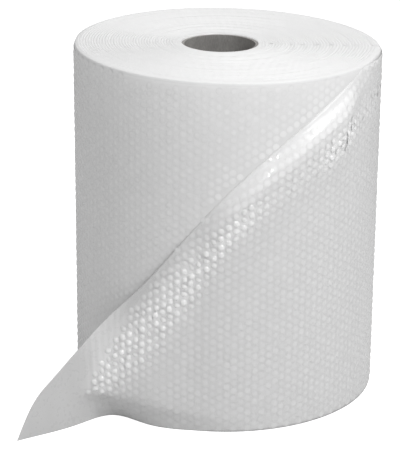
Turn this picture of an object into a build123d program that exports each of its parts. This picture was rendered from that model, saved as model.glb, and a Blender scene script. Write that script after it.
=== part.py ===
from build123d import *
from math import cos, pi, radians, sin, sqrt
import os

os.makedirs("parts", exist_ok=True)

# A roll of bubble wrap standing on its end, with the loose end of the film drawn out at the foot.
# Millimetres. The origin is the bottom centre of the core's bore, Z is up and -Y faces the viewer.

# Paperboard core
core_bore = 100.0
core_wall = 4.0
core_length = 498.0
core_clearance = 0.2

# Wound film
film_width = 500.0
roll_radius = 219.0
film_thickness = 4.0
roll_offset_x = 10.3
roll_offset_y = 4.9
end_slant = 0.96

# Bubbles, each one standing for four of the film's own and drawn with four facets. The web is what
# the film measures in the hollows between them.
bubble_spacing = 23.0
web_thickness = 1.0

# Turns seen on the upper end of the roll, six layers of film to a ridge. The foot is pressed flat.
turn_pitch = 16.2
turn_depth = 1.4
turn_margin = 5.0
rim_drop = 1.5

# How far a cutter passes what it cuts
overcut = 10.0

# Loose end. Angles are seen from above and start at +X, so the viewer is at -90 degrees.
leave_angle = -98.0
swell_angle = -119.0
tail_angle = -138.2
corner_reach = 157.0
reach_share = 0.35
ridge_height = 53.0
ridge_stand_off = 62.0

# Run of the loose film, from the floor up: height at the throat, stand-off from the roll at the
# swell as a share of the ridge's, then angle and stand-off of the throat, where the film turns
# outwards to its corner. Heights of the tucked runs are shares of the ridge's, and those of the
# tight ones lead from the ridge to the head. The ridge drops towards the roll by a share of its height.
tucked_runs = (
    (0.0, 0.07, -133.0, 0.14),
    (0.5, 0.15, -134.6, 0.55),
    (1.0, 0.24, -136.0, 1.0),
)
tight_runs = (
    (0.0, 0.24, -136.0, 1.0),
    (0.14, 0.27, -136.0, 1.0),
    (0.29, 0.19, -134.0, 0.52),
    (0.49, 0.09, -133.0, 0.17),
    (0.82, 0.07, -133.0, 0.14),
    (1.0, 0.07, -133.0, 0.14),
)
ridge_drop = 0.36
head_share = 0.78

# The bubbles die out along the loose film, and its corner is pulled smooth. Share of its length.
smooth_share = 0.37

# Cut end of the film as seen from the front. Heights are shares of the film's width, and distances
# from the roll's axis are shares of the corner's on the loose film and of the radius on the roll.
edge_on_tail = ((0.999, 0.016), (0.947, 0.084), (0.845, 0.154), (0.697, 0.237))
edge_on_roll = ((-0.580, 0.386), (-0.087, 0.650), (0.356, 0.829), (0.637, 0.920), (0.901, 0.998))

core_radius = core_bore / 2 + core_wall
film_bore_radius = core_radius + core_clearance
roll_axis = Vector(roll_offset_x, roll_offset_y, 0)

# One turn of the spiral is two half circles, each struck from its own centre
front_centre = roll_axis - Vector(film_thickness / 4, 0, 0)
back_centre = roll_axis + Vector(film_thickness / 4, 0, 0)
front_radius = roll_radius
under_radius = front_radius - film_thickness
inside_radius = under_radius - 2 * film_thickness
back_radius = front_radius - film_thickness / 2
blank_height = film_width + roll_radius * sin(radians(end_slant)) + overcut

# Facet corners lie on a grid of rows and columns, and every second one is the top of a bubble
bubble_height = film_thickness - web_thickness
node_pitch = bubble_spacing / sqrt(2)
row_count = round(blank_height / node_pitch)
row_height = blank_height / row_count
half_turn_columns = 2 * round(pi * roll_radius / node_pitch / 2)
outer_columns = round(radians(-leave_angle) * roll_radius / node_pitch)


def polar(centre, radius, angle):
    """Point at a radius and an angle in degrees from a centre."""
    return centre + Vector(radius * cos(radians(angle)), radius * sin(radians(angle)), 0)


def heading(angle):
    """Unit vector at an angle in degrees."""
    return Vector(cos(radians(angle)), sin(radians(angle)), 0)


corner = polar(front_centre, front_radius + corner_reach, tail_angle)
on_tail = [(roll_axis.X + x * (corner.X - roll_axis.X), z * film_width) for x, z in edge_on_tail]
on_roll = [(roll_axis.X + x * roll_radius, z * film_width) for x, z in edge_on_roll]

# Everything in front of the roll and above the film's cut end
with BuildPart() as above_edge:
    with BuildSketch(Plane.XZ.offset(-roll_axis.Y)):
        with BuildLine():
            cut_end = Spline(*on_tail, *on_roll)
            run_out = Line(cut_end @ 1, cut_end @ 1 + (cut_end % 1) * 3 * overcut)
            far_left = corner.X - 3 * overcut
            top = blank_height + 3 * overcut
            Polyline(
                cut_end @ 0,
                ((cut_end @ 0).X, -overcut),
                (far_left, -overcut),
                (far_left, top),
                ((run_out @ 1).X, top),
                run_out @ 1,
            )
        make_face()
    extrude(amount=front_radius + corner_reach)


def bubble_grid(centre, radius, start, end, columns, first=0):
    """Facet corners on an upright wall struck from one centre, row by row from the foot."""
    grid = []
    for row in range(row_count + 1):
        lift = Vector(0, 0, row * row_height)
        line = []
        for column in range(columns + 1):
            sunk = bubble_height * ((row + column + first) % 2)
            line.append(polar(centre, radius - sunk, start + (end - start) * column / columns) + lift)
        grid.append(line)
    return grid


def facets(grid, first=0):
    """Triangles between a grid's corners, four round the top of each bubble."""
    result = []
    for row in range(len(grid) - 1):
        for column in range(len(grid[0]) - 1):
            low, high = grid[row], grid[row + 1]
            a, b, c, d = low[column], low[column + 1], high[column + 1], high[column]
            if (row + column + first) % 2 == 0:
                result += [(a, b, d), (b, c, d)]
            else:
                result += [(a, b, c), (a, c, d)]
    return result


def solid_of(outlines):
    """Solid enclosed by flat faces with these outlines."""
    faces = [Face(Wire.make_polygon(outline, close=True)) for outline in outlines]
    return Solid(Shell(faces))


# Wound film under the outer turn: two half turns, and the step between them at the right
back_wall = bubble_grid(back_centre, back_radius, 0, 180, half_turn_columns)
under_wall = bubble_grid(front_centre, under_radius, 180, 360, half_turn_columns)
step = [row[0] for row in back_wall] + [row[-1] for row in reversed(under_wall)]
foot_outline = back_wall[0][:-1] + under_wall[0]
head_outline = back_wall[-1][:-1] + under_wall[-1]
wound_solid = solid_of(facets(back_wall) + facets(under_wall) + [step, foot_outline, head_outline])

# Outer turn over the front of the roll, from where it leaves the roll round to the right
parity = outer_columns % 2
outer_wall = bubble_grid(front_centre, front_radius, leave_angle, 0, outer_columns, parity)
inner_foot = [polar(front_centre, inside_radius, leave_angle * share) for share in (0, 0.5, 1)]
inner_head = [point + Vector(0, 0, blank_height) for point in inner_foot]
outer_solid = solid_of(
    facets(outer_wall, parity)
    + [
        outer_wall[0] + inner_foot,
        outer_wall[-1] + inner_head,
        [row[-1] for row in outer_wall] + [inner_head[0], inner_foot[0]],
        [row[0] for row in outer_wall] + [inner_head[2], inner_foot[2]],
        [inner_foot[0], inner_foot[1], inner_head[1], inner_head[0]],
        [inner_foot[1], inner_foot[2], inner_head[2], inner_head[1]],
    ]
)


def run_at(runs, share):
    """Stand-offs and throat angle of the loose film between two listed runs."""
    for low, high in zip(runs, runs[1:]):
        if share <= high[0]:
            way = (share - low[0]) / (high[0] - low[0])
            return [a + (b - a) * way for a, b in zip(low[1:], high[1:])]
    return runs[-1][1:]


def loose_row(row, height, swell_share, throat_angle, throat_share):
    """Outer and inner facet corners along one row of the loose film, from the roll past its corner."""
    leave = polar(front_centre, front_radius, leave_angle)
    swell = polar(front_centre, front_radius + swell_share * ridge_stand_off, swell_angle)
    throat = polar(front_centre, front_radius + throat_share * ridge_stand_off, throat_angle)
    tip = polar(front_centre, front_radius + corner_reach + overcut, tail_angle)
    reach = throat + (tip - throat) * reach_share
    run = (tip - throat).normalized()
    with BuildLine() as plan:
        Spline(leave, swell, throat, reach, tip, tangents=[heading(leave_angle - 90), run])
    line = plan.edge()
    outer, inner = [], []
    for column in range(loose_columns + 1):
        point = line @ (column / loose_columns)
        way = line % (column / loose_columns)
        inward = Vector(way.Y, -way.X, 0)
        level = height + (row * row_height - height) * (point.X - throat.X) / (leave.X - throat.X)
        sunk = bubble_height * ((row + column + parity) % 2) if column < smooth_column else 0
        outer.append(point + inward * sunk + Vector(0, 0, level))
        inner.append(point + inward * film_thickness + Vector(0, 0, level))
    return outer, inner


# Loose film: tucked in at the floor below the ridge of the buckle, drawn tight above it
loose_length = radians(leave_angle - tail_angle) * front_radius + corner_reach
loose_columns = round(loose_length / node_pitch)
smooth_column = round(smooth_share * loose_columns)
ridge_row = round(ridge_height * (1 - ridge_drop) / row_height)
head_row = round(head_share * film_width / row_height)
loose_rows = []
for row in range(ridge_row):
    share = row / ridge_row
    loose_rows.append(loose_row(row, ridge_height * share, *run_at(tucked_runs, share)))
for row in range(ridge_row, head_row + 1):
    share = (row - ridge_row) / (head_row - ridge_row)
    height = ridge_height + (head_row * row_height - ridge_height) * share
    loose_rows.append(loose_row(row, height, *run_at(tight_runs, share)))
outer_skin = [outer for outer, inner in loose_rows]
inner_skin = [inner for outer, inner in loose_rows]
rims = []
for end in (0, -1):
    rims += facets([outer_skin[end], inner_skin[end]])
    rims += facets([[row[end] for row in outer_skin], [row[end] for row in inner_skin]])
tail_solid = solid_of(facets(outer_skin, parity) + facets(inner_skin) + rims)

with BuildPart() as outer_turn:
    add(outer_solid)
    add(tail_solid)
    add(above_edge.part, mode=Mode.SUBTRACT)

slant = radians(end_slant)
top_plane = Plane(
    origin=roll_axis + Vector(0, 0, film_width),
    x_dir=(cos(slant), 0, -sin(slant)),
    z_dir=(0, -1, 0),
)
# Zigzag of the turns: each half turn is struck from a centre half a pitch from the last one's
first_turn = film_bore_radius + turn_margin + roll_axis.length
turn_count = int((under_radius - turn_margin - first_turn) / turn_pitch)


def turns_cutter(centre_shift, sweep):
    """Half of the slab that trims the top of the roll to a spiral of ridges."""
    with BuildPart() as cutter:
        with BuildSketch(top_plane):
            with BuildLine():
                teeth = [(centre_shift, 0), (first_turn, 0)]
                for turn in range(turn_count):
                    inner = first_turn + turn * turn_pitch
                    teeth += [(inner + turn_pitch / 2, -turn_depth), (inner + turn_pitch, 0)]
                rim_land = front_radius - teeth[-1][0]
                outside = front_radius + overcut
                teeth += [(outside, -rim_drop * (rim_land + overcut) / rim_land)]
                teeth += [(outside, 3 * overcut), (centre_shift, 3 * overcut)]
                Polyline(*teeth, close=True)
            make_face()
        turning = Axis(top_plane.from_local_coords((centre_shift, 0, 0)), top_plane.y_dir)
        revolve(axis=turning, revolution_arc=sweep)
    return cutter.part


# Roll: the wound film and its outer turn, trimmed at the top and bored for the core
with BuildPart() as bubble_film:
    add(wound_solid)
    add(outer_turn.part)
    add(turns_cutter(turn_pitch / 4, 180), mode=Mode.SUBTRACT)
    add(turns_cutter(-turn_pitch / 4, -180), mode=Mode.SUBTRACT)
    with BuildSketch(Plane.XY.offset(-overcut)):
        Circle(film_bore_radius)
    extrude(amount=blank_height + 2 * overcut, mode=Mode.SUBTRACT)
bubble_film.part.label = "bubble_film"

# Core: a plain wound tube, cut square at both ends
with BuildPart() as core_tube:
    with BuildSketch():
        Circle(core_radius)
        Circle(core_bore / 2, mode=Mode.SUBTRACT)
    extrude(amount=core_length)
core_tube.part.label = "core_tube"

for node in (bubble_film, core_tube):
    solids = len(node.part.solids())
    print(node.part.label, solids, "solid", round(node.part.volume), "mm3", node.part.is_valid)

export_step(bubble_film.part, "parts/bubble_film.step")
export_step(core_tube.part, "parts/core_tube.step")
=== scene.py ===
"""A roll of bubble film on its end: the wound film, its bubbles, the paperboard core, light and camera."""

import logging
import math
from dataclasses import dataclass
from enum import Enum
from functools import partial

import bmesh
import bpy
import numpy as np
from mathutils import Matrix, Vector


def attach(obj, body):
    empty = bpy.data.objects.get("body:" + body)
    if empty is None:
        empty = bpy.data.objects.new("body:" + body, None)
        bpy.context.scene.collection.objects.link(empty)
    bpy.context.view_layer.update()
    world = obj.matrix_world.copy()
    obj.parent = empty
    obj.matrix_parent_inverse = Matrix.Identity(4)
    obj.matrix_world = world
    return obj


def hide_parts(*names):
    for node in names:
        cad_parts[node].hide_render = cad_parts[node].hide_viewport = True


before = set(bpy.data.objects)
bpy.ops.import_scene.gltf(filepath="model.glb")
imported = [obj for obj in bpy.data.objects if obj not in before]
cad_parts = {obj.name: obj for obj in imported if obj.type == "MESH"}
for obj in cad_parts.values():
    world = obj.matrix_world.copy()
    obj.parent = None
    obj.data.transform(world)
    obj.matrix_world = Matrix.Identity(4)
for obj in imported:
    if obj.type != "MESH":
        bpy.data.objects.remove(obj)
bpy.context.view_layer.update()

log = logging.getLogger("bubble_film_roll")

MM = 0.001
NUMBER = {"data_type": "FLOAT"}
VECTOR = {"data_type": "FLOAT_VECTOR"}
CURVE_STEPS = 600


def linear(hex_colour: str) -> tuple[float, float, float, float]:
    """Turns an sRGB hex colour into linear light.

    Args:
        hex_colour: Six hex digits, such as "f2f3f4".

    Returns:
        Red, green, blue and an alpha of 1.
    """
    parts = [int(hex_colour[i : i + 2], 16) / 255 for i in (0, 2, 4)]
    light = [c / 12.92 if c <= 0.04045 else ((c + 0.055) / 1.055) ** 2.4 for c in parts]
    return (*light, 1.0)


def add_node(
    tree: bpy.types.NodeTree,
    kind: str,
    settings: dict[str, object] | None = None,
    inputs: dict[int | str, object] | None = None,
) -> bpy.types.Node:
    """Adds a node to a tree with its settings, values and links.

    Args:
        tree: The shader or geometry tree.
        kind: Blender's name of the node type.
        settings: Properties of the node, by name.
        inputs: Values or sockets for its inputs, by place or name.

    Returns:
        The new node.
    """
    node = tree.nodes.new(kind)
    for name, value in (settings or {}).items():
        setattr(node, name, value)
    for name, value in (inputs or {}).items():
        if isinstance(value, bpy.types.NodeSocket):
            tree.links.new(value, node.inputs[name])
        else:
            node.inputs[name].default_value = value
    return node


def chain(
    tree: bpy.types.NodeTree,
    flow: bpy.types.NodeSocket,
    *steps: tuple[str, dict[str, object], dict[int | str, object]],
) -> bpy.types.NodeSocket:
    """Passes a geometry through nodes, one after the other.

    Args:
        tree: The geometry tree.
        flow: The geometry that goes in.
        steps: Kind, settings and other inputs of each node.

    Returns:
        The geometry that comes out.
    """
    for kind, settings, inputs in steps:
        flow = add_node(tree, kind, settings, {0: flow, **inputs}).outputs[0]
    return flow


def blank_tree(holder: bpy.types.Material | bpy.types.World) -> bpy.types.NodeTree:
    """Turns on the nodes of a new material or world and empties them.

    Args:
        holder: The material or the world.

    Returns:
        Its node tree.
    """
    holder.use_nodes = True
    holder.node_tree.nodes.clear()
    return holder.node_tree


def spline(
    knots: np.ndarray,
    values: np.ndarray,
    at: np.ndarray,
    start: np.ndarray | None = None,
    end: np.ndarray | None = None,
) -> np.ndarray:
    """Runs a smooth curve through rows of values, unbent at an end whose slope isn't set.

    Args:
        knots: Rising parameters, one for each row.
        values: Rows to pass through, of any shape.
        at: Parameters to work out.
        start: Slope with which it starts, or None.
        end: Slope with which it ends, or None.

    Returns:
        One row for each parameter in at.
    """
    knots, values, at = (np.asarray(item, float) for item in (knots, values, at))
    flat = values.reshape(len(knots), -1)
    count = len(knots)
    gap = np.diff(knots)
    slope = np.diff(flat, axis=0) / gap[:, None]
    system = np.eye(count)
    right = np.zeros_like(flat)
    if start is not None:
        system[0, :2] = 2 * gap[0], gap[0]
        right[0] = 6 * (slope[0] - start)
    if end is not None:
        system[-1, -2:] = gap[-1], 2 * gap[-1]
        right[-1] = 6 * (end - slope[-1])
    for i in range(1, count - 1):
        system[i, i - 1 : i + 2] = gap[i - 1], 2 * (gap[i - 1] + gap[i]), gap[i]
        right[i] = 6 * (slope[i] - slope[i - 1])
    bend = np.linalg.solve(system, right)
    place = np.clip(np.searchsorted(knots, at, side="right") - 1, 0, count - 2)
    step = (at - knots[place])[:, None]
    width = gap[place][:, None]
    result = (
        flat[place]
        + step * (slope[place] - width * (2 * bend[place] + bend[place + 1]) / 6)
        + step**2 * bend[place] / 2
        + step**3 * (bend[place + 1] - bend[place]) / (6 * width)
    )
    return result.reshape(len(at), *values.shape[1:])


def run_length(points: np.ndarray) -> np.ndarray:
    """Length along a line at each of its points."""
    return np.r_[0, np.cumsum(np.linalg.norm(np.diff(points, axis=0), axis=1))]


def clamped_curve(points: np.ndarray, start: np.ndarray, end: np.ndarray, at: np.ndarray) -> np.ndarray:
    """Runs a smooth curve through points in the floor plan, with set directions at its ends.

    Args:
        points: Points to pass through.
        start: Unit direction in which it starts.
        end: Unit direction in which it ends.
        at: Shares of the curve's length to work out.

    Returns:
        One point for each share.
    """
    knots = run_length(points)
    run = spline(knots, points, np.linspace(0, knots[-1], CURVE_STEPS), start, end)
    length = run_length(run)
    return np.stack([np.interp(np.asarray(at) * length[-1], length, run[:, i]) for i in range(2)], axis=1)


def polar(centre: np.ndarray, radius: float | np.ndarray, degrees: float | np.ndarray) -> np.ndarray:
    """Points of the floor plan at a radius and an angle from a centre, in millimetres."""
    turn = np.radians(degrees)
    return np.stack([centre[0] + radius * np.cos(turn), centre[1] + radius * np.sin(turn)], axis=-1)


def heading(degrees: float) -> np.ndarray:
    """Unit vector of the floor plan at an angle in degrees."""
    return np.array([math.cos(math.radians(degrees)), math.sin(math.radians(degrees))])


def rolling_noise(at: np.ndarray, waves: int, seed: int) -> np.ndarray:
    """Smooth wander that closes on itself over one turn.

    Args:
        at: Angles in radians.
        waves: Highest number of waves in a turn.
        seed: Seed of the random draws.

    Returns:
        Values of about -1 to 1.
    """
    draw = np.random.default_rng(seed)
    total = np.zeros_like(at)
    weight = 0.0
    for wave in range(1, waves + 1):
        size = 1 / math.sqrt(wave)
        total += size * np.sin(wave * at + draw.uniform(0, 2 * math.pi))
        weight += size**2
    return total / math.sqrt(weight)


def smooth_step(low: float, high: float, at: np.ndarray) -> np.ndarray:
    """Rises from 0 to 1 between two values, level at both ends."""
    share = np.clip((at - low) / (high - low), 0, 1)
    return share * share * (3 - 2 * share)


def hump(edges: tuple[float, float, float, float], at: np.ndarray) -> np.ndarray:
    """Rises from 0 to 1 between the first two values and falls back between the last two."""
    return smooth_step(edges[0], edges[1], at) * (1 - smooth_step(edges[2], edges[3], at))


@dataclass(frozen=True)
class RollShape:
    """The roll's sizes, in millimetres and degrees, and the lines that its film follows."""

    width: float = 500.0
    radius: float = 219.0
    thickness: float = 4.0
    bubble_room: float = 1.0
    axis: tuple[float, float] = (10.3, 4.9)
    bore_radius: float = 54.2
    end_slant: float = 0.96
    leave_angle: float = -98.0
    swell_angle: float = -119.0
    tail_angle: float = -138.2
    corner_reach: float = 157.0
    reach_share: float = 0.35
    ridge_height: float = 53.0
    ridge_stand_off: float = 62.0
    head_share: float = 0.78
    corner_overrun: float = 6.0
    closing_angle: float = 345.0
    closing_gap: float = 0.4
    wound_tone: float = 0.9
    # Painted light: the wound film is drawn lighter near the upper end, fading with depth below it.
    painted_top_light: float = 0.12
    painted_top_light_depth: float = 70.0
    whitest: float = 1.08
    tucked_runs: tuple[tuple[float, ...], ...] = (
        (0.0, 0.0, 0.07, -133.0, 0.14),
        (0.5, 3.0, 0.15, -134.6, 0.55),
        (1.0, 6.0, 0.24, -136.0, 1.0),
    )
    tight_runs: tuple[tuple[float, ...], ...] = (
        (0.0, 6.0, 0.24, -136.0, 1.0),
        (0.14, 3.0, 0.27, -136.0, 1.0),
        (0.29, 0.0, 0.19, -134.0, 0.52),
        (0.49, 0.0, 0.09, -133.0, 0.17),
        (0.82, 0.0, 0.07, -133.0, 0.14),
        (1.0, 0.0, 0.07, -133.0, 0.14),
    )
    edge_on_tail: tuple[tuple[float, float], ...] = (
        (0.999, 0.016),
        (0.947, 0.084),
        (0.845, 0.154),
        (0.697, 0.237),
    )
    edge_on_roll: tuple[tuple[float, float], ...] = (
        (-0.580, 0.386),
        (-0.087, 0.650),
        (0.356, 0.829),
        (0.637, 0.920),
        (0.901, 0.998),
        (1.05, 1.04),
    )

    @property
    def front_centre(self) -> np.ndarray:
        """Centre that the front half of each turn is struck from."""
        return np.array([self.axis[0] - self.thickness / 4, self.axis[1]])

    @property
    def back_centre(self) -> np.ndarray:
        """Centre that the back half of each turn is struck from."""
        return np.array([self.axis[0] + self.thickness / 4, self.axis[1]])

    def top(self, plan: np.ndarray) -> np.ndarray:
        """Height of the roll's slanted upper end over points of the floor plan."""
        return self.width - (plan[..., 0] - self.axis[0]) * math.tan(math.radians(self.end_slant))

    def tone(self, points: np.ndarray) -> np.ndarray:
        """How light the film is drawn at points of the roll, with painted light from the upper end that lifts
        it below that end.
        """
        depth = np.maximum(self.top(points) - points[..., 2], 0)
        return self.wound_tone + self.painted_top_light * np.exp(-depth / self.painted_top_light_depth)

    def cut_height(self, x: np.ndarray) -> np.ndarray:
        """Height of the film's cut end.

        Args:
            x: Distances across the front view.

        Returns:
            One height for each distance.
        """
        corner = polar(self.front_centre, self.radius + self.corner_reach, self.tail_angle)
        across = [self.axis[0] + share * (corner[0] - self.axis[0]) for share, _ in self.edge_on_tail]
        across += [self.axis[0] + share * self.radius for share, _ in self.edge_on_roll]
        heights = [share * self.width for _, share in (*self.edge_on_tail, *self.edge_on_roll)]
        return spline(across, heights, np.ravel(x)).reshape(np.shape(x))

    def wall_plan(self, degrees: np.ndarray) -> np.ndarray:
        """Outer line of the carrier film under the outermost bubbles of the wound part.

        Args:
            degrees: Angles from 0 to 360, seen from above.

        Returns:
            Points of the floor plan. The front half is the layer below the outer turn, and it
            closes up to the back half over its last few degrees, under the outer turn.
        """
        back = polar(self.back_centre, self.radius - self.thickness / 2 - self.bubble_room, degrees)
        under = polar(self.front_centre, self.radius - self.thickness - self.bubble_room, degrees)
        outer = polar(self.front_centre, self.radius - self.bubble_room - self.closing_gap, degrees)
        close = smooth_step(self.closing_angle, 360, degrees)[..., None]
        front = under * (1 - close) + outer * close
        return np.where((degrees < 180)[..., None], back, front)

    def loose_level(self, run: tuple[float, ...], height: float, shares: np.ndarray) -> np.ndarray:
        """One level line of the loose film, on the carrier film under its bubbles.

        Args:
            run: Level, droop, swell, throat angle and throat stand-off, as in the roll's sizes.
            height: Height of the line at the throat.
            shares: Shares of the line's length from the roll to past the corner.

        Returns:
            Points in space, one for each share.
        """
        _, droop, swell_share, throat_angle, throat_share = run
        centre = self.front_centre
        swell = polar(centre, self.radius + swell_share * self.ridge_stand_off, self.swell_angle)
        throat = polar(centre, self.radius + throat_share * self.ridge_stand_off, throat_angle)
        tip = polar(centre, self.radius + self.corner_reach + self.corner_overrun, self.tail_angle)
        reach = throat + (tip - throat) * self.reach_share
        way = (tip - throat) / np.linalg.norm(tip - throat)
        leave = polar(centre, self.radius, self.leave_angle)
        plan = clamped_curve(
            np.array([leave, swell, throat, reach, tip]), heading(self.leave_angle - 90), way, shares
        )
        along = np.gradient(plan, axis=0)
        along /= np.linalg.norm(along, axis=1)[:, None]
        outward = np.stack([-along[:, 1], along[:, 0]], axis=1)
        outward *= np.sign(np.sum(outward * (plan - centre), axis=1))[:1, None]
        plan = plan - outward * self.bubble_room
        fall = math.tan(math.radians(droop))
        return np.column_stack([plan, height - (plan[:, 0] - throat[0]) * fall])

    def loose_surface(self, shares: np.ndarray, rows: int) -> np.ndarray:
        """The loose film from the floor to past its cut end.

        Args:
            shares: Shares of each level line's length.
            rows: Rows above the ridge, and a third as many below it.

        Returns:
            Points as rows by shares.
        """
        rise = self.head_share * self.width - self.ridge_height
        low = [run[0] * self.ridge_height for run in self.tucked_runs]
        high = [self.ridge_height + run[0] * rise for run in self.tight_runs]
        tucked = np.array([self.loose_level(r, h, shares) for r, h in zip(self.tucked_runs, low)])
        tight = np.array([self.loose_level(r, h, shares) for r, h in zip(self.tight_runs, high)])
        low_at = np.linspace(0, self.ridge_height, rows // 3)
        high_at = np.linspace(self.ridge_height, high[-1], rows)[1:]
        return np.concatenate([spline(low, tucked, low_at), spline(high, tight, high_at)])


def link(item: bpy.types.Object) -> bpy.types.Object:
    """Puts a new object into the scene and returns it."""
    bpy.context.scene.collection.objects.link(item)
    return item


def mesh_piece(
    name: str,
    points: np.ndarray,
    faces: list[tuple[int, ...]] | np.ndarray,
    smooth: bool = True,
) -> bpy.types.Object:
    """Makes an object at the origin from points in millimetres.

    Args:
        name: The piece's name.
        points: Points in millimetres.
        faces: Rows of point numbers.
        smooth: Whether its faces are shaded smooth.

    Returns:
        The linked object.
    """
    mesh = bpy.data.meshes.new(name)
    mesh.from_pydata((np.asarray(points) * MM).tolist(), [], [tuple(int(i) for i in f) for f in faces])
    mesh.validate()
    mesh.polygons.foreach_set("use_smooth", [smooth] * len(mesh.polygons))
    return link(bpy.data.objects.new(name, mesh))


def grid_faces(rows: int, columns: int) -> np.ndarray:
    """Quads of a grid whose points are numbered row by row.

    Args:
        rows: Number of rows of points.
        columns: Number of points in a row.

    Returns:
        Rows of four point numbers.
    """
    row, column = np.meshgrid(np.arange(rows - 1), np.arange(columns - 1), indexing="ij")
    first = (row * columns + column).ravel()
    return np.stack([first, first + 1, first + columns + 1, first + columns], axis=1)


def upright_grid(plan: np.ndarray, run: np.ndarray, heights: np.ndarray) -> tuple[np.ndarray, np.ndarray]:
    """Stands a line of the floor plan up as a grid.

    Args:
        plan: Points of the floor plan, one for each column.
        run: Distance of each column along the web.
        heights: Heights, rows by columns.

    Returns:
        Points in space and their places on the web, both as rows by columns.
    """
    x, y, along = (np.broadcast_to(values, heights.shape) for values in (*plan.T, run))
    return np.dstack([x, y, heights]), np.dstack([along, heights])


def close_seams(mesh: bpy.types.Mesh, gap: float) -> None:
    """Merges the doubled points of a closed mesh and turns its faces outwards.

    Args:
        mesh: The mesh.
        gap: Distance in metres under which points are merged.
    """
    work = bmesh.new()
    work.from_mesh(mesh)
    bmesh.ops.remove_doubles(work, verts=work.verts, dist=gap)
    bmesh.ops.recalc_face_normals(work, faces=work.faces)
    work.to_mesh(mesh)
    work.free()


def set_attribute(mesh: bpy.types.Mesh, name: str, values: np.ndarray) -> None:
    """Stores one number or vector for each point of a mesh.

    Args:
        mesh: The mesh.
        name: The attribute's name.
        values: One row for each point.
    """
    values = np.asarray(values, float)
    vector = values.ndim == 2
    kind = "FLOAT_VECTOR" if vector else "FLOAT"
    layer = mesh.attributes.new(name, kind, "POINT")
    layer.data.foreach_set("vector" if vector else "value", values.ravel())


@dataclass
class WebSheet:
    """A stretch of film as a grid, with the place of each point on the flat web."""

    points: np.ndarray
    web: np.ndarray
    outward: np.ndarray
    inset: np.ndarray
    puff: np.ndarray
    tone: np.ndarray

    @classmethod
    def from_grid(
        cls, points: np.ndarray, web: np.ndarray, inset: np.ndarray, puff: np.ndarray, tone: np.ndarray
    ) -> "WebSheet":
        """Works out the outward directions of a grid whose rows rise and whose columns run leftwards.

        Args:
            points: Points in space, rows by columns.
            web: Place of each on the flat web.
            inset: Distance of each from the nearest edge.
            puff: How far the bubbles stand up: 0 is the low height, 1 the full one, and less is flatter.
            tone: How light the film is drawn. One loose layer is darker than many, and painted light and
                painted shade are added in.

        Returns:
            The sheet.
        """
        across = np.gradient(points, axis=1)
        up = np.gradient(points, axis=0)
        outward = np.cross(up, across)
        outward /= np.maximum(np.linalg.norm(outward, axis=2), 1e-9)[..., None]
        return cls(points, web, outward, inset, puff, tone)

    def helper(self, name: str) -> bpy.types.Object:
        """Makes the mesh that the bubbles are laid out on, with its web map and attributes.

        Args:
            name: The mesh's name.

        Returns:
            The object, which is removed again once the bubbles are made.
        """
        rows, columns = self.points.shape[:2]
        piece = mesh_piece(name, self.points.reshape(-1, 3), grid_faces(rows, columns))
        mesh = piece.data
        flat = self.web.reshape(-1, 2) * MM
        layer = mesh.uv_layers.new(name="web")
        corners = np.empty(len(mesh.loops), int)
        mesh.loops.foreach_get("vertex_index", corners)
        layer.data.foreach_set("uv", flat[corners].ravel())
        set_attribute(mesh, "outward", self.outward.reshape(-1, 3))
        set_attribute(mesh, "inset", self.inset.ravel() * MM)
        set_attribute(mesh, "puff", self.puff.ravel())
        set_attribute(mesh, "tone", self.tone.ravel())
        return piece


class Finish(Enum):
    """Finishes of the roll's pieces."""

    WOUND_FILM = "wound_polyethylene_film"
    FILM_ENDS = "slit_edges_of_polyethylene_film"
    BUBBLES = "blown_polyethylene_bubbles"
    LOOSE_FILM = "loose_polyethylene_film"
    GREY_BOARD = "spiral_wound_grey_board"
    FLOOR = "white_paper_sweep"


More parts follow.
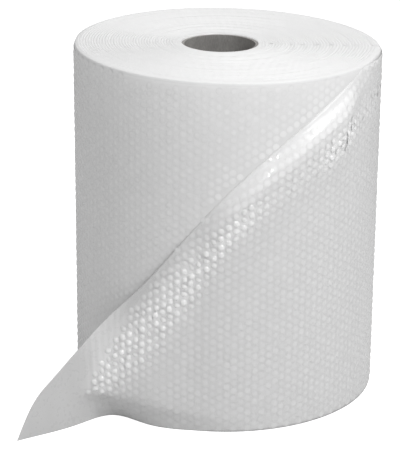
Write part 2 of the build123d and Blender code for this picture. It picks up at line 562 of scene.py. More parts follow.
@dataclass(frozen=True)
class FilmFinish:
    """Low-density polyethylene film, blown thin and milky.

    Many layers lie under it, so the eye sees a soft white with a waxy gloss and faint streaks.
    """

    pale: str = "f0f0f0"
    shade: str = "e9e9e9"
    roughness: float = 0.36
    roughness_spread: float = 0.06
    scatter: float = 0.1
    scatter_mm: float = 4.0
    refraction: float = 1.51
    streak_mm: float = 26.0
    streak_squash: float = 0.16
    crinkle_mm: float = 5.0
    crinkle_depth_mm: float = 0.25
    crinkle_strength: float = 0.6
    crinkle_span: tuple[float, float] = (0.3, 0.7)

    def material(self, finish: Finish) -> bpy.types.Material:
        """Builds the material.

        Args:
            finish: The finish that gives its name.

        Returns:
            The material.
        """
        material = bpy.data.materials.new(finish.value)
        put = partial(add_node, blank_tree(material))
        place = put("ShaderNodeTexCoord").outputs["Object"]
        tall = put("ShaderNodeMapping", inputs={"Vector": place, "Scale": (1.0, 1.0, self.streak_squash)})
        streaks = put(
            "ShaderNodeTexNoise",
            inputs={"Vector": tall.outputs[0], "Scale": 1 / (self.streak_mm * MM), "Detail": 3.0},
        )
        colour = put(
            "ShaderNodeMix",
            {"data_type": "RGBA"},
            {0: streaks.outputs["Fac"], 6: linear(self.shade), 7: linear(self.pale)},
        )
        # The tone attribute carries painted light and painted shade into the colour.
        tone = put("ShaderNodeAttribute", {"attribute_name": "tone"})
        toned = put(
            "ShaderNodeVectorMath",
            {"operation": "SCALE"},
            {0: colour.outputs[2], "Scale": tone.outputs["Fac"]},
        )
        crinkle = put(
            "ShaderNodeTexNoise",
            inputs={"Vector": place, "Scale": 1 / (self.crinkle_mm * MM), "Detail": 3.0},
        ).outputs["Fac"]
        bump = put(
            "ShaderNodeBump",
            inputs={
                "Height": crinkle,
                "Distance": self.crinkle_depth_mm * MM,
                "Strength": self.crinkle_strength,
            },
        )
        rough = put(
            "ShaderNodeMapRange",
            inputs={
                "Value": crinkle,
                "From Min": self.crinkle_span[0],
                "From Max": self.crinkle_span[1],
                "To Min": self.roughness - self.roughness_spread,
                "To Max": self.roughness + self.roughness_spread,
            },
        )
        shader = put(
            "ShaderNodeBsdfPrincipled",
            inputs={
                "Base Color": toned.outputs[0],
                "Roughness": rough.outputs[0],
                "Normal": bump.outputs[0],
                "IOR": self.refraction,
                "Subsurface Weight": self.scatter,
                "Subsurface Radius": (1.0, 1.0, 1.0),
                "Subsurface Scale": self.scatter_mm * MM,
            },
        )
        put("ShaderNodeOutputMaterial", inputs={"Surface": shader.outputs[0]})
        return material


@dataclass(frozen=True)
class BubbleFinish:
    """The same film drawn into bubbles, thinner and glossier on the crowns, with painted shade darkening each
    bubble towards its foot.

    On the plain walls light spreads in the milky film, and the eye sees a soft even wall with hardly a
    shadow. Milkiness is how far the shading of the bubbles is evened out there.
    """

    # Crown and weld colours: each bubble runs from the weld colour at its foot to the crown colour at its
    # top, as painted shade.
    crown: str = "f3f3f3"
    weld: str = "efefef"
    varied: str = "fafafa"
    dull_roughness: float = 0.44
    glossy_roughness: float = 0.14
    coat: float = 0.8
    coat_roughness: float = 0.07
    scatter: float = 0.15
    scatter_mm: float = 3.0
    refraction: float = 1.51
    milkiness: float = 0.8
    clear_puff: float = 0.5

    def material(self) -> bpy.types.Material:
        """Builds the material, which reads each bubble's own height and shade.

        Returns:
            The material.
        """
        material = bpy.data.materials.new(Finish.BUBBLES.value)
        put = partial(add_node, blank_tree(material))
        own = {
            name: put("ShaderNodeAttribute", {"attribute_name": name})
            for name in ("crest", "shade", "puff", "tone", "way")
        }
        # Painted shade: each bubble is drawn from the weld colour at its foot up to the crown colour at its
        # top.
        colour = put(
            "ShaderNodeMix",
            {"data_type": "RGBA"},
            {0: own["crest"].outputs["Fac"], 6: linear(self.weld), 7: linear(self.crown)},
        )
        varied = put(
            "ShaderNodeMix",
            {"data_type": "RGBA", "blend_type": "MULTIPLY"},
            {0: own["shade"].outputs["Fac"], 6: colour.outputs[2], 7: linear(self.varied)},
        )
        # The tone attribute carries the film's painted light and painted shade onto the bubbles.
        toned = put(
            "ShaderNodeVectorMath",
            {"operation": "SCALE"},
            {0: varied.outputs[2], "Scale": own["tone"].outputs["Fac"]},
        )
        puff = own["puff"].outputs["Fac"]
        rough = put(
            "ShaderNodeMapRange",
            inputs={"Value": puff, "To Min": self.dull_roughness, "To Max": self.glossy_roughness},
        )
        milky = put(
            "ShaderNodeMapRange",
            inputs={"Value": puff, "From Max": self.clear_puff, "To Min": self.milkiness, "To Max": 0.0},
        )
        face = put("ShaderNodeNewGeometry")
        softened = put(
            "ShaderNodeMix",
            {"data_type": "VECTOR"},
            {0: milky.outputs[0], 4: face.outputs["Normal"], 5: own["way"].outputs["Vector"]},
        )
        normal = put("ShaderNodeVectorMath", {"operation": "NORMALIZE"}, {0: softened.outputs[1]})
        shader = put(
            "ShaderNodeBsdfPrincipled",
            inputs={
                "Base Color": toned.outputs[0],
                "Roughness": rough.outputs[0],
                "Normal": normal.outputs[0],
                "IOR": self.refraction,
                "Coat Weight": self.coat,
                "Coat Roughness": self.coat_roughness,
                "Coat Normal": normal.outputs[0],
                "Subsurface Weight": self.scatter,
                "Subsurface Radius": (1.0, 1.0, 1.0),
                "Subsurface Scale": self.scatter_mm * MM,
            },
        )
        put("ShaderNodeOutputMaterial", inputs={"Surface": shader.outputs[0]})
        return material


@dataclass(frozen=True)
class BoardFinish:
    """Grey board wound in a spiral and glued, which the eye sees as matt, with flecks of fibre."""

    pale: str = "a3a19e"
    dark: str = "8a8886"
    fibre_mm: float = 1.6
    fibre_squash: float = 0.35
    fibre_depth_mm: float = 0.2
    fibre_strength: float = 0.5
    blotches_per_m: float = 30.0
    fleck_span: tuple[float, float] = (0.12, 0.4)
    roughness: float = 0.9
    refraction: float = 1.45
    specular: float = 0.25

    def material(self) -> bpy.types.Material:
        """Builds the material.

        Returns:
            The material.
        """
        material = bpy.data.materials.new(Finish.GREY_BOARD.value)
        put = partial(add_node, blank_tree(material))
        place = put("ShaderNodeTexCoord").outputs["Object"]
        stretched = put("ShaderNodeMapping", inputs={"Vector": place, "Scale": (1.0, 1.0, self.fibre_squash)})
        fibres = put(
            "ShaderNodeTexNoise",
            inputs={"Vector": stretched.outputs[0], "Scale": 1 / (self.fibre_mm * MM), "Detail": 4.0},
        )
        blotches = put(
            "ShaderNodeTexNoise", inputs={"Vector": place, "Scale": self.blotches_per_m, "Detail": 2.0}
        )
        both = put(
            "ShaderNodeMath",
            {"operation": "MULTIPLY"},
            {0: fibres.outputs["Fac"], 1: blotches.outputs["Fac"]},
        )
        share = put(
            "ShaderNodeMapRange",
            inputs={"Value": both.outputs[0], "From Min": self.fleck_span[0], "From Max": self.fleck_span[1]},
        )
        colour = put(
            "ShaderNodeMix",
            {"data_type": "RGBA"},
            {0: share.outputs[0], 6: linear(self.dark), 7: linear(self.pale)},
        )
        bump = put(
            "ShaderNodeBump",
            inputs={
                "Height": fibres.outputs["Fac"],
                "Distance": self.fibre_depth_mm * MM,
                "Strength": self.fibre_strength,
            },
        )
        shader = put(
            "ShaderNodeBsdfPrincipled",
            inputs={
                "Base Color": colour.outputs[2],
                "Roughness": self.roughness,
                "Normal": bump.outputs[0],
                "IOR": self.refraction,
                "Specular IOR Level": self.specular,
            },
        )
        put("ShaderNodeOutputMaterial", inputs={"Surface": shader.outputs[0]})
        return material


@dataclass(frozen=True)
class BubbleLayout:
    """How bubbles are laid out in staggered rows, and how each differs from the next."""

    seat_mm: float = 0.12
    crown_power: float = 2.0
    cut_below: float = -0.01
    lean: float = 0.55
    heights: tuple[float, float] = (0.75, 1.2)
    widths: tuple[float, float] = (0.95, 1.03)

    def tree(self, material: bpy.types.Material) -> bpy.types.NodeTree:
        """Geometry nodes that lay the bubbles over a sheet's web map.

        Args:
            material: The bubbles' material.

        Returns:
            The tree, with named inputs for its sizes.
        """
        tree = bpy.data.node_groups.new("staggered_bubbles", "GeometryNodeTree")
        bubble = ("Pitch", "Radius", "Low Height", "Full Height")
        area = ("Start", "Length", "Bottom", "Rise", "Margin")
        inputs = {"Geometry": ("Geometry",), "Float": bubble + area, "Int": ("Sides", "Rings", "Seed")}
        for kind, names in inputs.items():
            for name in names:
                tree.interface.new_socket(name, in_out="INPUT", socket_type="NodeSocket" + kind)
        tree.interface.new_socket("Geometry", in_out="OUTPUT", socket_type="NodeSocketGeometry")
        put = partial(add_node, tree)
        given = put("NodeGroupInput").outputs
        at = self.fields(tree, {name: given[name] for names in inputs.values() for name in names})
        samples = {}
        # tone carries the sheet's painted light and painted shade over to each bubble.
        for name, settings in (
            ("outward", VECTOR),
            ("puff", NUMBER),
            ("tone", NUMBER),
            ("inset", NUMBER),
            ("position", VECTOR),
        ):
            sources = {0: at["Geometry"], 1: at[name], "UV Map": at["web"], "Sample UV": at["spot"]}
            samples[name] = put("GeometryNodeSampleUVSurface", settings, sources)
        way, puff, tone, room, place = (sample.outputs[0] for sample in samples.values())
        found = samples["position"].outputs["Is Valid"]
        seat = put("ShaderNodeVectorMath", {"operation": "SCALE"}, {0: way, "Scale": -self.seat_mm * MM})
        missing = put("FunctionNodeBooleanMath", {"operation": "NOT"}, {0: found})
        short = put("FunctionNodeCompare", {**NUMBER, "operation": "LESS_THAN"}, {0: room, 1: at["Margin"]})
        drop = put(
            "FunctionNodeBooleanMath", {"operation": "OR"}, {0: missing.outputs[0], 1: short.outputs[0]}
        )
        upright = put("FunctionNodeAlignRotationToVector", {"axis": "Z"}, {"Vector": at["way"]})
        leaning = put("FunctionNodeEulerToRotation", inputs={0: at["spin"]})
        turned = put(
            "FunctionNodeRotateRotation",
            {"rotation_space": "LOCAL"},
            {0: upright.outputs[0], 1: leaning.outputs[0]},
        )
        shaped = {"Instance": self.dome(tree, at), "Rotation": turned.outputs[0], "Scale": at["size"]}
        store = "GeometryNodeStoreNamedAttribute"
        flow = chain(
            tree,
            put("GeometryNodePoints", inputs={"Count": at["total"]}).outputs[0],
            (store, VECTOR, {"Name": "way", "Value": way}),
            (store, NUMBER, {"Name": "puff", "Value": puff}),
            (store, NUMBER, {"Name": "tone", "Value": tone}),
            ("GeometryNodeSetPosition", {}, {"Position": place, "Offset": seat.outputs[0]}),
            ("GeometryNodeDeleteGeometry", {"domain": "POINT"}, {"Selection": drop.outputs[0]}),
            (store, NUMBER, {"Name": "shade", "Value": at["shade draw"]}),
            ("GeometryNodeInstanceOnPoints", {}, shaped),
            ("GeometryNodeRealizeInstances", {}, {}),
            ("GeometryNodeSetMaterial", {}, {"Material": material}),
        )
        put("NodeGroupOutput", inputs={0: flow})
        return tree

    def fields(
        self, tree: bpy.types.NodeTree, given: dict[str, bpy.types.NodeSocket]
    ) -> dict[str, bpy.types.NodeSocket]:
        """Adds the values that the layout works with, each worked out from those above it.

        Args:
            tree: The tree.
            given: The tree's own inputs, by name.

        Returns:
            The inputs and the values, by name.
        """
        put = partial(add_node, tree)
        at = dict(given)
        at["index"] = put("GeometryNodeInputIndex").outputs[0]
        at["position"] = put("GeometryNodeInputPosition").outputs[0]
        for settings, names in ((VECTOR, ("web", "outward", "way")), (NUMBER, ("inset", "puff", "tone"))):
            for name in names:
                stored = put("GeometryNodeInputNamedAttribute", settings, {"Name": name})
                at[name] = stored.outputs[0]
        draws = (
            ("height draw", *self.heights),
            ("side draw", -1.0, 1.0),
            ("front draw", -1.0, 1.0),
            ("turn draw", 0.0, 2 * math.pi),
            ("shade draw", 0.0, 1.0),
            ("width draw", *self.widths),
        )
        for step, (name, low, high) in enumerate(draws, start=1):
            seed = put("ShaderNodeMath", {"operation": "ADD"}, {0: at["Seed"], 1: float(step)})
            drawn = put("FunctionNodeRandomValue", NUMBER, {2: low, 3: high, "Seed": seed.outputs[0]})
            at[name] = drawn.outputs[1]
        parts = put("ShaderNodeSeparateXYZ", inputs={0: at["position"]})
        at |= {"x": parts.outputs[0], "y": parts.outputs[1], "z": parts.outputs[2]}
        at["stand"] = put(
            "ShaderNodeMapRange",
            {"clamp": False},
            {"Value": at["puff"], "To Min": at["Low Height"], "To Max": at["Full Height"]},
        ).outputs[0]
        for name, operation, *values in (
            ("row pitch", "MULTIPLY", "Pitch", math.sqrt(3) / 2),
            ("length in rows", "DIVIDE", "Length", "row pitch"),
            ("columns", "CEIL", "length in rows"),
            ("rise in bubbles", "DIVIDE", "Rise", "Pitch"),
            ("rows", "CEIL", "rise in bubbles"),
            ("total", "MULTIPLY", "columns", "rows"),
            ("index in columns", "DIVIDE", "index", "rows"),
            ("column", "FLOOR", "index in columns"),
            ("earlier", "MULTIPLY", "column", "rows"),
            ("row", "SUBTRACT", "index", "earlier"),
            ("start in rows", "DIVIDE", "Start", "row pitch"),
            ("first", "ROUND", "start in rows"),
            ("whole", "ADD", "column", "first"),
            ("odd", "FLOORED_MODULO", "whole", 2.0),
            ("stagger", "MULTIPLY", "odd", 0.5),
            ("along", "MULTIPLY", "whole", "row pitch"),
            ("bubbles up", "ADD", "row", "stagger"),
            ("climb", "MULTIPLY", "bubbles up", "Pitch"),
            ("up", "ADD", "Bottom", "climb"),
            ("above weld", "MAXIMUM", "z", 0.0),
            ("crown", "POWER", "above weld", self.crown_power),
            ("height", "MULTIPLY", "stand", "height draw"),
            ("across", "MULTIPLY", "Radius", "width draw"),
            ("lean", "MULTIPLY", "puff", self.lean),
            ("side lean", "MULTIPLY", "side draw", "lean"),
            ("front lean", "MULTIPLY", "front draw", "lean"),
        ):
            sources = {place: at.get(value, value) for place, value in enumerate(values)}
            at[name] = put("ShaderNodeMath", {"operation": operation}, sources).outputs[0]
        for name, values in (
            ("spot", ("along", "up", 0.0)),
            ("pillow", ("x", "y", "crown")),
            ("spin", ("side lean", "front lean", "turn draw")),
            ("size", ("across", "across", "height")),
        ):
            sources = {place: at.get(value, value) for place, value in enumerate(values)}
            at[name] = put("ShaderNodeCombineXYZ", inputs=sources).outputs[0]
        return at

    def dome(self, tree: bpy.types.NodeTree, at: dict[str, bpy.types.NodeSocket]) -> bpy.types.NodeSocket:
        """Adds one bubble of unit size, the upper half of a sphere drawn to a pillow.

        Args:
            tree: The tree.
            at: The layout's values, by name.

        Returns:
            The bubble's geometry.
        """
        sizes = {"Segments": at["Sides"], "Rings": at["Rings"], "Radius": 1.0}
        sphere = add_node(tree, "GeometryNodeMeshUVSphere", inputs=sizes)
        levels = {0: at["z"], 1: self.cut_below}
        below = add_node(tree, "FunctionNodeCompare", {**NUMBER, "operation": "LESS_THAN"}, levels)
        # crest holds each point's height on the bubble, which the material turns into painted shade at the
        # foot.
        return chain(
            tree,
            sphere.outputs[0],
            ("GeometryNodeDeleteGeometry", {"domain": "POINT"}, {"Selection": below.outputs[0]}),
            ("GeometryNodeStoreNamedAttribute", NUMBER, {"Name": "crest", "Value": at["z"]}),
            ("GeometryNodeSetPosition", {}, {"Position": at["pillow"]}),
            ("GeometryNodeSetShadeSmooth", {}, {}),
        )


@dataclass
class BubbleField:
    """The bubbles of one stretch of film."""

    name: str
    sheet: WebSheet
    pitch: float = 11.2
    radius: float = 5.0
    low_height: float = 1.1
    full_height: float = 2.7
    margin: float = 4.0
    sides: int = 10
    rings: int = 8
    seed: int = 11

    def build(self, tree: bpy.types.NodeTree) -> bpy.types.Object:
        """Lays the bubbles out and turns them into a plain mesh.

        Args:
            tree: The geometry nodes that lay bubbles out.

        Returns:
            The piece.
        """
        helper = self.sheet.helper(self.name + "_sheet")
        low, high = self.sheet.web.reshape(-1, 2).min(0), self.sheet.web.reshape(-1, 2).max(0)
        bottom = math.floor(low[1] / self.pitch) * self.pitch + self.pitch / 2
        lengths = {
            "Pitch": self.pitch,
            "Radius": self.radius,
            "Low Height": self.low_height,
            "Full Height": self.full_height,
            "Start": low[0],
            "Length": high[0] - low[0],
            "Bottom": bottom,
            "Rise": high[1] - bottom,
            "Margin": self.margin,
        }
        settings = {name: float(length) * MM for name, length in lengths.items()}
        settings |= {"Sides": self.sides, "Rings": self.rings, "Seed": self.seed}
        modifier = helper.modifiers.new("bubbles", "NODES")
        modifier.node_group = tree
        for item in tree.interface.items_tree:
            if item.in_out == "INPUT" and item.name in settings:
                modifier[item.identifier] = settings[item.name]
        graph = bpy.context.evaluated_depsgraph_get()
        mesh = bpy.data.meshes.new_from_object(helper.evaluated_get(graph), depsgraph=graph)
        bpy.data.objects.remove(helper)
        mesh.name = self.name
        return link(bpy.data.objects.new(self.name, mesh))


@dataclass
class WoundFilm:
    """The wound part of the roll: its wall, the turns on its upper end, its foot and its bore."""

    shape: RollShape
    turn_pitch: float = 4.1
    turn_depth: float = 1.1
    samples: int = 4
    spokes: int = 456
    proud: float = 0.55
    proud_seed: int = 5
    wander: float = 0.35
    wander_waves: int = 5
    wander_turns: int = 6
    wander_seed: int = 40
    scallop: float = 0.4
    scallop_pitch: float = 11.2
    scallop_shift: float = 3.7
    level_share: float = 1 / 12
    rim_drop: float = 2.6
    rim_inset: float = 1.6
    rim_turns: float = 2.4
    rim_band: float = 8.0
    wall_drops: tuple[float, ...] = (1.5, 4, 8, 20, 40, 65, 95, 130, 180, 240, 320, 400, 480)
    foot_inset: float = 1.5
    foot_height: float = 2.0
    bore_heights: tuple[float, ...] = (120, 300, 440, 480)
    mouth_depth: float = 4.0
    seam_gap: float = 2e-6
    end_from: float = 0.4
    end_upward: float = 0.25
    foot_downward: float = -0.9
    sheet_rows: int = 40
    columns_per_degree: float = 1.2
    sheet_margin: float = 3.0
    # Painted light on the wall above the cut end: how much, and the band it fades over.
    painted_hem_light: float = 0.12
    painted_hem_light_band: float = 24.0
    hem_gap: float = 1.0

    @property
    def degrees(self) -> np.ndarray:
        """Angles of the spokes, once round."""
        return np.linspace(0, 360, self.spokes + 1)

    @property
    def bore_plan(self) -> np.ndarray:
        """The bore's outline in the floor plan."""
        return polar(np.zeros(2), self.shape.bore_radius, self.degrees)

    def inset_plan(self, inset: float) -> np.ndarray:
        """The wall's outline in the floor plan, drawn in.

        Args:
            inset: How far it is drawn in, in millimetres.

        Returns:
            Points of the floor plan, one for each spoke.
        """
        plan = self.shape.wall_plan(self.degrees)
        outward = plan - np.array(self.shape.axis)
        return plan - inset * outward / np.linalg.norm(outward, axis=1)[:, None]

    def end_rows(self) -> np.ndarray:
        """Rows of the upper end from the bore to the wall, along the spiral of the turns.

        Returns:
            Points as rows by spokes.
        """
        shape, axis = self.shape, np.array(self.shape.axis)
        turn = np.radians(self.degrees)
        inner, outer = self.bore_plan, self.inset_plan(self.rim_inset)
        turns = int(np.linalg.norm(outer - inner, axis=1).mean() / self.turn_pitch)
        draw = np.random.default_rng(self.proud_seed)
        stands = np.convolve(draw.normal(0, self.proud, turns + 6), [0.25, 0.5, 0.25], mode="same")
        rows = []
        for j in range((turns + 1) * self.samples + 1):
            lap = j / self.samples + turn / (2 * math.pi)
            share = np.clip((lap - 1) / turns, 0, 1)
            crest = 0.5 - 0.5 * math.cos(2 * math.pi * (j % self.samples) / self.samples)
            plan = inner + (outer - inner) * share[:, None]
            radius = np.linalg.norm(plan - axis, axis=1)
            run = radius * turn + lap * self.scallop_shift
            wave = np.abs(np.sin(math.pi * run / self.scallop_pitch)) - 0.5
            fade = np.clip(np.minimum(share, 1 - share) / self.level_share, 0, 1)
            plan = plan + (plan - axis) / radius[:, None] * (self.scallop * wave * crest * fade)[:, None]
            stand = np.interp(lap, np.arange(turns + 6), stands)
            seed = self.wander_seed + j // (self.samples * self.wander_turns)
            wander = rolling_noise(turn + 0.35 * j / self.samples, self.wander_waves, seed) * self.wander
            height = shape.top(plan) + (stand + wander - self.turn_depth * (1 - crest)) * fade
            rim = 1 - np.clip((1 - share) * turns / self.rim_turns, 0, 1)
            rows.append(np.column_stack([plan, height - self.rim_drop * rim**2]))
        return np.array(rows)

    def build(self, ends: bpy.types.Material, wall: bpy.types.Material) -> bpy.types.Object:
        """Builds the closed mesh.

        Args:
            ends: Finish of the slit edges on both ends.
            wall: Finish of the wall and the bore.

        Returns:
            The piece.
        """
        rows = list(self.end_rows())
        mouth, rim = rows[0], rows[-1]
        for drop in self.wall_drops:
            inset = self.rim_inset * max(0.0, 1 - drop / self.rim_band) ** 2
            rows.append(np.column_stack([self.inset_plan(inset), rim[:, 2] - drop]))
        levels = [(self.inset_plan(0), self.foot_height), (self.inset_plan(self.foot_inset), 0)]
        levels += [(self.bore_plan, height) for height in (0, *self.bore_heights)]
        rows += [np.insert(plan, 2, height, axis=1) for plan, height in levels]
        rows += [mouth - np.array([0, 0, self.mouth_depth]), mouth]
        faces = grid_faces(len(rows), self.spokes + 1)[:, ::-1]
        piece = mesh_piece("wound_film", np.array(rows).reshape(-1, 3), faces)
        mesh = piece.data
        close_seams(mesh, self.seam_gap)
        spots = np.array([vertex.co[:] for vertex in mesh.vertices]) / MM
        # The tone holds painted light, lighter towards the upper end.
        set_attribute(mesh, "tone", np.minimum(self.shape.tone(spots), self.shape.whitest))
        mesh.materials.append(wall)
        mesh.materials.append(ends)
        for face in mesh.polygons:
            on_upper_end = abs(face.normal.z) > self.end_upward and face.center.z > self.end_from
            if on_upper_end or face.normal.z < self.foot_downward:
                face.material_index = 1
        return piece

    def sheet(self, start: float, end: float, upper: bool = False) -> WebSheet:
        """A stretch of the wall for bubbles.

        Args:
            start: First angle, in degrees from 0 to 360.
            end: Last angle.
            upper: Whether the outer turn covers it up to the film's cut end.

        Returns:
            The sheet. Distances along the web grow leftwards from the front right.
        """
        shape = self.shape
        degrees = np.linspace(end, start, int((end - start) * self.columns_per_degree) + 2)
        plan = shape.wall_plan(np.clip(degrees, 0, 359.99))
        top = shape.top(plan) - self.rim_drop - self.sheet_margin
        z = np.linspace(0, 1, self.sheet_rows)[:, None] * top[None, :]
        run = (360 - degrees) / 180 * math.pi * (shape.radius - shape.thickness)
        points, web = upright_grid(plan, run, z)
        inset = np.minimum(z, top[None, :] - z)
        tone = shape.tone(points)
        if upper:
            above = z - shape.cut_height(plan[:, 0])[None, :]
            inset = np.minimum(inset, above - self.hem_gap)
            # Painted light: the wall just above the film's cut end is drawn lighter, fading upwards, which
            # softens the shade that the cut end casts there.
            tone = tone + self.painted_hem_light * np.exp(-np.maximum(above, 0) / self.painted_hem_light_band)
        return WebSheet.from_grid(points, web, inset, np.zeros(z.shape), np.minimum(tone, shape.whitest))


@dataclass
class OuterTurn:
    """The outer turn below the film's cut end, and the loose corner that it runs out to.

    A band is in millimetres below the cut end, but tucked_band is above the line of the tuck. A reach
    is in millimetres across the front view. One of four numbers rises over the first two and falls
    over the last two. Each row of sparkle gives a place across the front view, the middle and spread
    of the band there, and its strength.
    """

    shape: RollShape
    film: float = 0.25
    clear_of_rim: float = 4.0
    rows: int = 90
    shares: int = 110
    pressed_columns: int = 150
    surface_rows: int = 150
    first_angle: float = 0.5
    loose_gap: float = 1.5
    seam_gap: float = 1e-6
    edge_share: float = 0.75
    sink: float = 3.7
    sink_band: tuple[float, float] = (0, 22)
    sink_reach: tuple[float, float] = (-190, -120)
    fold: float = 10.0
    fold_band: tuple[float, float, float, float] = (0, 33, 33, 130)
    fold_reach: tuple[float, float, float, float] = (-40, 30, 160, 195)
    strip_band: tuple[float, float] = (19.8, 46.2)
    flattened: float = 0.1
    drawn: float = 1.3
    drawn_pitch: float = 9.0
    drawn_lean: float = 0.05
    drawn_beat: float = 17.0
    drawn_band: tuple[float, float] = (40, 90)
    drawn_reach: tuple[float, float, float, float] = (-195, -172, -150, -120)
    bare_left_of: float = -178.0
    bare_below: tuple[tuple[float, float], ...] = ((-178, 66), (-125, 24), (-70, 0))
    loose_tone: float = 0.96
    # Painted highlight on the fold's strip and the sparkle band.
    painted_highlight_tone: float = 0.22
    # Darker tone of the corner's single thinner layer, also used as painted shade in the tuck under the
    # ridge.
    thin_and_shaded_tone: float = 0.73
    single_reach: tuple[float, float] = (-205, -160)
    # Where the tuck under the ridge is drawn darker as painted shade.
    tucked_drop: float = 6.0
    tucked_fall: float = 0.13
    tucked_from: float = -190.0
    tucked_band: tuple[float, float] = (-8, 4)
    tucked_reach: tuple[float, float] = (-60, 60)
    sparkle: tuple[tuple[float, float, float, float], ...] = (
        (-190, 80, 30, 0.4),
        (-160, 74, 40, 1.0),
        (-110, 70, 44, 1.0),
        (-35, 70, 34, 1.0),
        (0, 60, 24, 1.0),
        (35, 56, 20, 0.8),
        (70, 60, 20, 0.25),
        (125, 62, 20, 0.3),
        (145, 64, 20, 1.0),
        (175, 64, 18, 1.0),
        (190, 64, 16, 0.2),
    )

    def pressed_grid(self) -> tuple[np.ndarray, np.ndarray]:
        """The carrier film where it lies on the roll, rows from the foot to the cut end.

        Returns:
            Points and their places on the web.
        """
        shape = self.shape
        radius = shape.radius - shape.bubble_room
        degrees = np.linspace(self.first_angle, shape.leave_angle, self.pressed_columns)[:-1]
        plan = polar(shape.front_centre, radius, degrees)
        top = np.minimum(shape.cut_height(plan[:, 0]), shape.top(plan) - self.clear_of_rim)
        return upright_grid(plan, -np.radians(degrees) * radius, np.linspace(0, 1, self.rows)[:, None] * top)

    def loose_grid(self, run: float) -> tuple[np.ndarray, np.ndarray]:
        """The carrier film where it has left the roll, rows from the foot to the cut end.

        Args:
            run: Distance along the web at which it leaves the roll.

        Returns:
            Points and their places on the web.
        """
        surface = self.shape.loose_surface(np.linspace(0, 1, self.shares), self.surface_rows)
        lengths = np.array([run_length(row) for row in surface])
        number = np.arange(len(surface))
        columns, webs = [], []
        for k in range(self.shares):
            line = surface[:, k]
            over = line[:, 2] - self.shape.cut_height(line[:, 0])
            above = np.flatnonzero(over > 0)
            if not len(above) or above[0] == 0:
                break
            end, start = above[0], np.flatnonzero(line[:, 2] > 0)[0]
            last = end - 1 - over[end - 1] / (over[end] - over[end - 1])
            step = line[start, 2] - line[start - 1, 2]
            begin = start - 1 - line[start - 1, 2] / step if start > 0 else 0.0
            at = begin + np.linspace(0, 1, self.rows) * (last - begin)
            column = np.stack([np.interp(at, number, values) for values in line.T], axis=1)
            rise = run_length(column)
            along = run + self.loose_gap + np.interp(at, number, lengths[:, k])
            columns.append(column)
            webs.append(np.column_stack([along, rise - rise[-1] + column[-1, 2]]))
        return np.array(columns).transpose(1, 0, 2), np.array(webs).transpose(1, 0, 2)

    def sheet(self) -> WebSheet:
        """The outer turn's sheet, with its cut end laid down and the fold inside it.

        Returns:
            The sheet.
        """
        shape = self.shape
        pressed, pressed_web = self.pressed_grid()
        loose, loose_web = self.loose_grid(pressed_web[0, -1, 0])
        points = np.concatenate([pressed, loose], axis=1)
        web = np.concatenate([pressed_web, loose_web], axis=1)
        x = points[..., 0]
        below = shape.cut_height(x) - points[..., 2]
        none = np.zeros(below.shape)
        flat = WebSheet.from_grid(points, web, none, none, none)

        on_fold = hump(self.fold_reach, x)
        rise = self.fold * hump(self.fold_band, below) * on_fold
        rise = rise - self.sink * (1 - smooth_step(*self.sink_band, below)) * smooth_step(*self.sink_reach, x)
        streaks = np.sin(2 * math.pi * (x + self.drawn_lean * points[..., 2]) / self.drawn_pitch)
        streaks = streaks * (0.6 + 0.4 * np.sin(x / self.drawn_beat + 1)) * hump(self.drawn_reach, x)
        rise = rise + self.drawn * streaks * (1 - smooth_step(*self.drawn_band, below))
        points = points + flat.outward * rise[..., None]

        z = points[..., 2]
        edge = np.minimum(np.minimum(below * self.edge_share, z), shape.top(points) - self.clear_of_rim - z)
        bare = below < np.interp(x, *np.array(self.bare_below).T)
        edge = np.where((x < self.bare_left_of) | bare, 0.0, edge)
        places, middles, spreads, strengths = np.array(self.sparkle).T
        middle, spread = np.interp(x, places, middles), np.interp(x, places, spreads)
        puff = np.exp(-(((below - middle) / spread) ** 2)) * np.interp(x, places, strengths)
        # Painted shade: the film of the tuck below this line is drawn darker.
        ridge = shape.ridge_height - self.tucked_drop - (x - self.tucked_from) * self.tucked_fall
        tucked = 1 - smooth_step(*self.tucked_band, z - ridge)
        tucked = tucked * (1 - smooth_step(*self.tucked_reach, x))
        # The corner's single layer is thinner and darker, and the tuck gets the same tone as painted shade.
        thin_and_shaded = np.maximum(1 - smooth_step(*self.single_reach, x), tucked)
        strip = (1 - smooth_step(*self.strip_band, below)) * on_fold
        # Painted highlight: the fold's strip and the sparkle band are drawn lighter.
        tone = self.loose_tone * shape.tone(points) + self.painted_highlight_tone * np.maximum(strip, puff)
        tone = np.minimum(tone * (1 - thin_and_shaded) + self.thin_and_shaded_tone * thin_and_shaded, shape.whitest)
        puff = puff * (1 - thin_and_shaded) * (1 - strip) - self.flattened * strip
        return WebSheet.from_grid(points, web, edge, puff, tone)

    def build(self, sheet: WebSheet, material: bpy.types.Material) -> bpy.types.Object:
        """Builds the film as a thin closed shell, its thickness inwards.

        Args:
            sheet: The film's outer side.
            material: The film's finish.

        Returns:
            The piece.
        """
        rows, columns = sheet.points.shape[:2]
        front = sheet.points.reshape(-1, 3)
        back = (sheet.points - sheet.outward * self.film).reshape(-1, 3)
        back[:, 2] = np.maximum(back[:, 2], 0)
        count = len(front)
        faces = grid_faces(rows, columns)
        number = np.arange(count).reshape(rows, columns)
        rim = np.concatenate([number[0, :], number[1:, -1], number[-1, -2::-1], number[-2:0:-1, 0]])
        around = np.stack([rim, np.roll(rim, -1), np.roll(rim, -1) + count, rim + count], axis=1)
        every = np.concatenate([faces, faces[:, ::-1] + count, around[:, ::-1]])
        piece = mesh_piece("outer_turn", np.concatenate([front, back]), every)
        set_attribute(piece.data, "tone", np.tile(sheet.tone.ravel(), 2))
        close_seams(piece.data, self.seam_gap)
        piece.data.materials.append(material)
        return piece


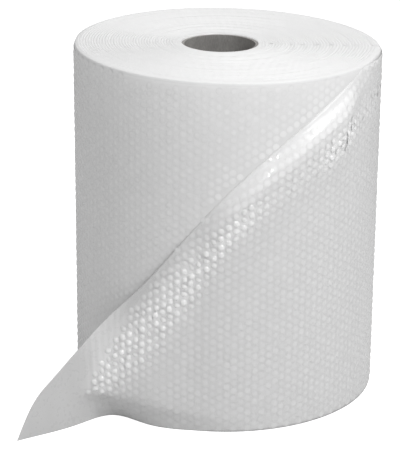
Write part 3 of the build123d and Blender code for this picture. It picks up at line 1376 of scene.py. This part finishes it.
@dataclass
class PaperboardCore:
    """The paperboard tube, as modelled, with its own finish."""

    node: str = "core_tube"

    def dress(self, material: bpy.types.Material) -> bpy.types.Object:
        """Gives the tube its finish.

        Args:
            material: The board's material.

        Returns:
            The tube's object.
        """
        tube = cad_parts[self.node]
        if not tube.data.materials:
            tube.data.materials.append(material)
        for slot in tube.material_slots:
            slot.material = material
        return tube


@dataclass(frozen=True)
class Lamp:
    """A soft box, by place, aim, size and power."""

    name: str
    place: tuple[float, float, float]
    aim: tuple[float, float, float]
    size: float
    watts: float

    def build(self) -> None:
        """Adds the lamp to the scene."""
        data = bpy.data.lights.new(self.name, "AREA")
        data.shape = "SQUARE"
        data.size = self.size
        data.energy = self.watts
        lamp = link(bpy.data.objects.new(self.name, data))
        lamp.location = self.place
        way = Vector(self.aim) - Vector(self.place)
        lamp.rotation_euler = way.to_track_quat("-Z", "Y").to_euler()


@dataclass
class Studio:
    """A white sweep, soft lamps and the camera."""

    lamps: tuple[Lamp, ...] = (
        Lamp("key", (1.4, -1.25, 2.25), (0.0, 0.0, 0.4), 0.9, 15.8),
        Lamp("glint_right", (1.5, -2.3, 2.3), (0.0, 0.0, 0.3), 0.3, 18.0),
        Lamp("glint_left", (-0.7, -2.7, 2.2), (0.0, 0.0, 0.3), 0.25, 8.5),
        Lamp("top", (0.3, 0.2, 2.6), (0.0, 0.0, 0.4), 1.6, 16.6),
    )
    ambient: float = 0.44
    white: str = "ffffff"
    floor_colour: str = "e4e4e4"
    floor_glow: float = 0.8
    floor_half: float = 12000.0
    camera_place: tuple[float, float, float] = (-0.0258, -2.7070, 1.1857)
    camera_fall: float = 19.609
    camera_roll: float = 0.449
    camera_reach: float = 60.0
    sensor: float = 36.0
    lens: float = 155.606

    def floor(self) -> None:
        """Builds the white floor, which shows as white where the light falls on it plainly."""
        material = bpy.data.materials.new(Finish.FLOOR.value)
        put = partial(add_node, blank_tree(material))
        shader = put("ShaderNodeBsdfDiffuse", inputs={"Color": linear(self.floor_colour)})
        glow = put("ShaderNodeEmission", inputs={"Color": linear(self.white), "Strength": self.floor_glow})
        path = put("ShaderNodeLightPath")
        both = put("ShaderNodeAddShader", inputs={0: shader.outputs[0], 1: glow.outputs[0]})
        pick = put(
            "ShaderNodeMixShader",
            inputs={0: path.outputs["Is Camera Ray"], 1: shader.outputs[0], 2: both.outputs[0]},
        )
        put("ShaderNodeOutputMaterial", inputs={"Surface": pick.outputs[0]})
        points = np.array([(-1, -1, 0), (1, -1, 0), (1, 1, 0), (-1, 1, 0)]) * self.floor_half
        piece = mesh_piece("floor", points, [(0, 1, 2, 3)], smooth=False)
        piece.data.materials.append(material)

    def world(self) -> None:
        """Sets the even light and the white background."""
        world = bpy.data.worlds.new("white_room")
        put = partial(add_node, blank_tree(world))
        path = put("ShaderNodeLightPath")
        strength = put(
            "ShaderNodeMapRange",
            inputs={"Value": path.outputs["Is Camera Ray"], "To Min": self.ambient, "To Max": 1.0},
        )
        back = put(
            "ShaderNodeBackground", inputs={"Color": linear(self.white), "Strength": strength.outputs[0]}
        )
        put("ShaderNodeOutputWorld", inputs={"Surface": back.outputs[0]})
        bpy.context.scene.world = world

    def camera(self) -> None:
        """Sets the camera at the photograph's viewing angle."""
        data = bpy.data.cameras.new("camera")
        data.sensor_width = self.sensor
        data.lens = self.lens
        data.clip_end = self.camera_reach
        fall, roll = math.radians(self.camera_fall), math.radians(self.camera_roll)
        forward = Vector((0, math.cos(fall), -math.sin(fall)))
        rise = Vector((0, math.sin(fall), math.cos(fall)))
        side = Vector((1, 0, 0))
        right = side * math.cos(roll) + rise * math.sin(roll)
        up = rise * math.cos(roll) - side * math.sin(roll)
        turn = Matrix((right, up, -forward)).transposed()
        camera = link(bpy.data.objects.new("camera", data))
        camera.matrix_world = Matrix.Translation(self.camera_place) @ turn.to_4x4()
        bpy.context.scene.camera = camera

    def build(self) -> None:
        """Builds the whole studio."""
        self.floor()
        self.world()
        for lamp in self.lamps:
            lamp.build()
        self.camera()
        bpy.context.scene.view_settings.view_transform = "Standard"


def main() -> None:
    """Builds the roll and its studio, piece by piece."""
    logging.basicConfig(level=logging.INFO, format="%(message)s")
    shape = RollShape()
    wall = FilmFinish().material(Finish.WOUND_FILM)
    ends = FilmFinish(pale="eaeaea", shade="e5e5e5", roughness=0.5, crinkle_mm=3.0).material(Finish.FILM_ENDS)
    loose = FilmFinish(crinkle_mm=7.0, roughness=0.3).material(Finish.LOOSE_FILM)
    wound = WoundFilm(shape)
    outer = OuterTurn(shape)
    outer_sheet = outer.sheet()
    tree = BubbleLayout().tree(BubbleFinish().material())
    fields = [
        BubbleField("bubbles_right", wound.sheet(0, 92), seed=21),
        BubbleField("bubbles_back", wound.sheet(92, 182), seed=22),
        BubbleField("bubbles_left", wound.sheet(182, 262), seed=23),
        BubbleField("bubbles_front", wound.sheet(262, 345, upper=True), seed=24),
        BubbleField("bubbles_outer", outer_sheet, margin=3.4, seed=25),
    ]
    pieces = [wound.build(ends, wall), outer.build(outer_sheet, loose)]
    pieces += [bubble_field.build(tree) for bubble_field in fields]
    for piece in pieces:
        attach(piece, "root")
        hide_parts("bubble_film")
    pieces.append(PaperboardCore().dress(BoardFinish().material()))
    for piece in pieces:
        triangles = sum(len(face.vertices) - 2 for face in piece.data.polygons)
        log.info("%s: %d triangles", piece.name, triangles)
    Studio().build()


if __name__ == "__main__":
    main()
